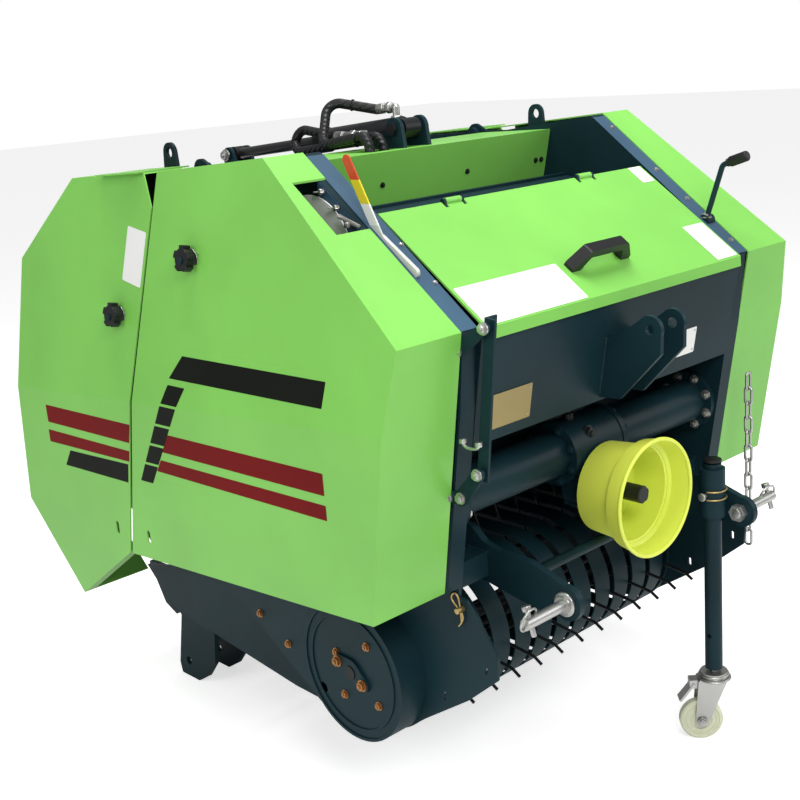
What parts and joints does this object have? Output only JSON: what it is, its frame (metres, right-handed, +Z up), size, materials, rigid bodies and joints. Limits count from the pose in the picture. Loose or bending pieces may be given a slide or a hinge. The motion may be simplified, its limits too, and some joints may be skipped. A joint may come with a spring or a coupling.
{
  "type": "three-point mounted round baler",
  "caption": "Compact three-point round baler with steel-roller chamber, hinged tailgate, tined pickup, net box with lid, and a wheeled front jack.",
  "frame": {"origin": "on the floor, below the middle of the whole machine's box", "axes": "+X across to the machine's left side, -Y to the hitch end, +Z up"},
  "size_m": [1.252, 1.482, 1.4536],
  "materials": {
    "green_paint": "glossy powder coat",
    "teal_paint": "glossy paint",
    "roller_steel": "satin paint",
    "zinc": "zinc plated",
    "yellow_guard": "moulded",
    "black_grip": "moulded",
    "black_steel": "satin paint",
    "bright_rod": "polished",
    "nylon": "moulded"
  },
  "bodies": {
    "baler": {"side_frame_left": "teal_paint", "side_frame_right": "teal_paint", "hinge_bracket_left": "teal_paint", "hinge_bracket_right": "teal_paint", "front_cover_left": "green_paint", "front_cover_right": "green_paint", "top_deck": "green_paint", "top_beam": "teal_paint", "cylinder_lugs": "teal_paint", "net_box": "teal_paint", "mast": "teal_paint", "hitch_arm_left": "teal_paint", "hitch_arm_right": "teal_paint", "hitch_pin_left": "zinc", "hitch_pin_right": "zinc", "cross_rod": "teal_paint", "gearbox": "teal_paint", "drive_tube_left": "teal_paint", "drive_tube_right": "teal_paint", "pto_shield": "yellow_guard", "pickup_bands": "teal_paint", "pickup_drive_case": "teal_paint", "pickup_guard_left": "teal_paint", "pickup_guard_right": "teal_paint", "rear_feet": "teal_paint", "jack_collar": "teal_paint", "link_bar": "teal_paint", "density_scale": "zinc", "side_lever": "teal_paint", "safety_chain": "zinc"},
    "tailgate": {"tailgate_side_left": "teal_paint", "tailgate_side_right": "teal_paint", "rear_cover_left": "green_paint", "rear_cover_right": "green_paint", "tailgate_beams": "teal_paint", "rod_clevis": "teal_paint"},
    "lid": {"net_box_lid": "green_paint", "lid_handle": "black_grip"},
    "input_shaft": {"pto_shaft": "black_steel"},
    "reel": {"pickup_reel": "black_steel"},
    "jack_leg": {"jack_tube": "teal_paint"},
    "caster": {"caster_fork": "zinc"},
    "caster_wheel": {"caster_wheel": "nylon"},
    "barrel": {"cylinder_barrel": "black_steel", "hydraulic_hoses": "black_grip", "hose_fittings": "zinc"},
    "rod": {"cylinder_rod": "bright_rod"},
    "roller_01": {"roller_01": "roller_steel"},
    "roller_02": {"roller_02": "roller_steel"},
    "roller_03": {"roller_03": "roller_steel"},
    "roller_04": {"roller_04": "roller_steel"},
    "roller_05": {"roller_05": "roller_steel"},
    "roller_09": {"roller_09": "roller_steel"},
    "roller_10": {"roller_10": "roller_steel"},
    "roller_11": {"roller_11": "roller_steel"},
    "roller_12": {"roller_12": "roller_steel"},
    "roller_13": {"roller_13": "roller_steel"},
    "roller_14": {"roller_14": "roller_steel"},
    "roller_15": {"roller_15": "roller_steel"},
    "roller_16": {"roller_16": "roller_steel"}
  },
  "joints": [
    {"name": "tailgate_hinge", "type": "hinge", "parent": "baler", "child": "tailgate", "pos_m": [0, 0.136, 1.335], "axis": [1, 0, 0], "range_deg": [0, 60]},
    {"name": "barrel_swing", "type": "hinge", "parent": "baler", "child": "barrel", "pos_m": [0, -0.054, 1.384], "axis": [1, 0, 0], "range_deg": [0, 43.71]},
    {"name": "rod_slide", "type": "slide", "parent": "barrel", "child": "rod", "axis": [0, 0.9959, -0.091], "range_m": [-0.1026, 0]},
    {"name": "lid_hinge", "type": "hinge", "parent": "baler", "child": "lid", "pos_m": [0, -0.38, 1.26], "axis": [-1, 0, 0], "range_deg": [0, 95]},
    {"name": "input_spin", "type": "hinge", "parent": "baler", "child": "input_shaft", "pos_m": [0, -0.599, 0.657], "axis": [0, 1, 0], "continuous": true},
    {"name": "reel_spin", "type": "hinge", "parent": "baler", "child": "reel", "pos_m": [0, -0.285, 0.34], "axis": [1, 0, 0], "continuous": true},
    {"name": "jack_slide", "type": "slide", "parent": "baler", "child": "jack_leg", "axis": [0, 0, 1], "range_m": [0, 0.33]},
    {"name": "caster_swivel", "type": "hinge", "parent": "jack_leg", "child": "caster", "pos_m": [0.256, -0.654, 0.17], "axis": [0, 0, 1], "continuous": true},
    {"name": "caster_wheel_spin", "type": "hinge", "parent": "caster", "child": "caster_wheel", "pos_m": [0.23479, -0.63279, 0.048], "axis": [-0.7071, -0.7071, 0], "continuous": true},
    {"name": "roller_01_spin", "type": "hinge", "parent": "baler", "child": "roller_01", "pos_m": [0, -0.01105, 1.2421], "axis": [1, 0, 0], "continuous": true},
    {"name": "roller_02_spin", "type": "hinge", "parent": "baler", "child": "roller_02", "pos_m": [0, -0.16633, 1.17857], "axis": [1, 0, 0], "continuous": true},
    {"name": "roller_03_spin", "type": "hinge", "parent": "baler", "child": "roller_03", "pos_m": [0, -0.28549, 1.06045], "axis": [1, 0, 0], "continuous": true},
    {"name": "roller_04_spin", "type": "hinge", "parent": "baler", "child": "roller_04", "pos_m": [0, -0.35037, 0.90573], "axis": [1, 0, 0], "continuous": true},
    {"name": "roller_05_spin", "type": "hinge", "parent": "baler", "child": "roller_05", "pos_m": [0, -0.3511, 0.73795], "axis": [1, 0, 0], "continuous": true},
    {"name": "roller_09_spin", "type": "hinge", "parent": "baler", "child": "roller_09", "pos_m": [0, 0.15305, 0.3979], "axis": [1, 0, 0], "continuous": true},
    {"name": "roller_10_spin", "type": "hinge", "parent": "baler", "child": "roller_10", "pos_m": [0, 0.30833, 0.46143], "axis": [1, 0, 0], "continuous": true},
    {"name": "roller_11_spin", "type": "hinge", "parent": "tailgate", "child": "roller_11", "pos_m": [0, 0.42749, 0.57955], "axis": [1, 0, 0], "continuous": true},
    {"name": "roller_12_spin", "type": "hinge", "parent": "tailgate", "child": "roller_12", "pos_m": [0, 0.49237, 0.73427], "axis": [1, 0, 0], "continuous": true},
    {"name": "roller_13_spin", "type": "hinge", "parent": "tailgate", "child": "roller_13", "pos_m": [0, 0.4931, 0.90205], "axis": [1, 0, 0], "continuous": true},
    {"name": "roller_14_spin", "type": "hinge", "parent": "tailgate", "child": "roller_14", "pos_m": [0, 0.42957, 1.05733], "axis": [1, 0, 0], "continuous": true},
    {"name": "roller_15_spin", "type": "hinge", "parent": "tailgate", "child": "roller_15", "pos_m": [0, 0.31145, 1.17649], "axis": [1, 0, 0], "continuous": true},
    {"name": "roller_16_spin", "type": "hinge", "parent": "tailgate", "child": "roller_16", "pos_m": [0, 0.15673, 1.24137], "axis": [1, 0, 0], "continuous": true}
  ],
  "couplings": [
    {"joint": "barrel_swing", "follows": "tailgate_hinge", "ratio": 0.72525},
    {"joint": "rod_slide", "follows": "tailgate_hinge", "m_per_rad": -0.097511},
    {"joint": "roller_02_spin", "follows": "roller_01_spin", "ratio": 1},
    {"joint": "roller_03_spin", "follows": "roller_01_spin", "ratio": 1},
    {"joint": "roller_04_spin", "follows": "roller_01_spin", "ratio": 1},
    {"joint": "roller_05_spin", "follows": "roller_01_spin", "ratio": 1},
    {"joint": "roller_09_spin", "follows": "roller_01_spin", "ratio": 1},
    {"joint": "roller_10_spin", "follows": "roller_01_spin", "ratio": 1},
    {"joint": "roller_11_spin", "follows": "roller_01_spin", "ratio": 1},
    {"joint": "roller_12_spin", "follows": "roller_01_spin", "ratio": 1},
    {"joint": "roller_13_spin", "follows": "roller_01_spin", "ratio": 1},
    {"joint": "roller_14_spin", "follows": "roller_01_spin", "ratio": 1},
    {"joint": "roller_15_spin", "follows": "roller_01_spin", "ratio": 1},
    {"joint": "roller_16_spin", "follows": "roller_01_spin", "ratio": 1},
    {"joint": "reel_spin", "follows": "roller_01_spin", "ratio": -1.6},
    {"joint": "input_spin", "follows": "roller_01_spin", "ratio": 2.7}
  ]
}
